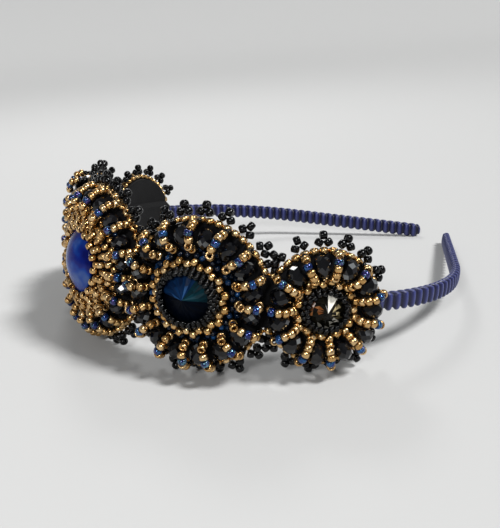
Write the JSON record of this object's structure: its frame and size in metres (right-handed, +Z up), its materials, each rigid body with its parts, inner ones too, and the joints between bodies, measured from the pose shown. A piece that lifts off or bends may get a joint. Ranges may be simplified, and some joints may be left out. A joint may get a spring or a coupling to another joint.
{
  "type": "beaded headband",
  "caption": "Narrow cord-wrapped headband with a row of round beaded medallions, each a pointed glass stone in a bead bezel with arched bead spokes and a picot edge.",
  "frame": {"origin": "under the middle of the whole piece, on the plane that it rests on", "axes": "+Z up; -Y towards the front medallion, +Y towards the tips; the left and right halves mirror each other in X"},
  "size_m": [0.1404, 0.1516, 0.0503],
  "materials": {
    "cord": "tightly wound satin cord, dark royal blue",
    "felt": "stiff black felt",
    "suede": "matte black suede",
    "gold": "gold metallic glass beads, shiny",
    "jet": "glossy opaque black glass",
    "centre_stone": "foil-backed cut glass, royal blue with a milky sheen",
    "inner_stone": "foil-backed cut glass, dark petrol blue",
    "outer_stone": "foil-backed cut glass, smoky clear with warm flashes"
  },
  "bodies": {
    "root": {"wrapped_band": "cord", "embroidery_base": "felt", "suede_lining": "suede", "edge_row_upper": "gold", "edge_row_lower": "gold", "picots_upper": "jet", "picots_lower": "jet", "centre_stone": "centre_stone", "centre_bezel": "gold", "centre_bead_spokes": "gold", "centre_facet_beads": "jet", "left_inner_stone": "inner_stone", "left_inner_bezel": "jet", "left_inner_bead_spokes": "gold", "left_inner_facet_beads": "jet", "right_inner_stone": "inner_stone", "right_inner_bezel": "jet", "right_inner_bead_spokes": "gold", "right_inner_facet_beads": "jet", "left_outer_stone": "outer_stone", "left_outer_bezel": "jet", "left_outer_bead_spokes": "gold", "left_outer_facet_beads": "jet", "right_outer_stone": "outer_stone", "right_outer_bezel": "jet", "right_outer_bead_spokes": "gold", "right_outer_facet_beads": "jet"}
  },
  "joints": []
}
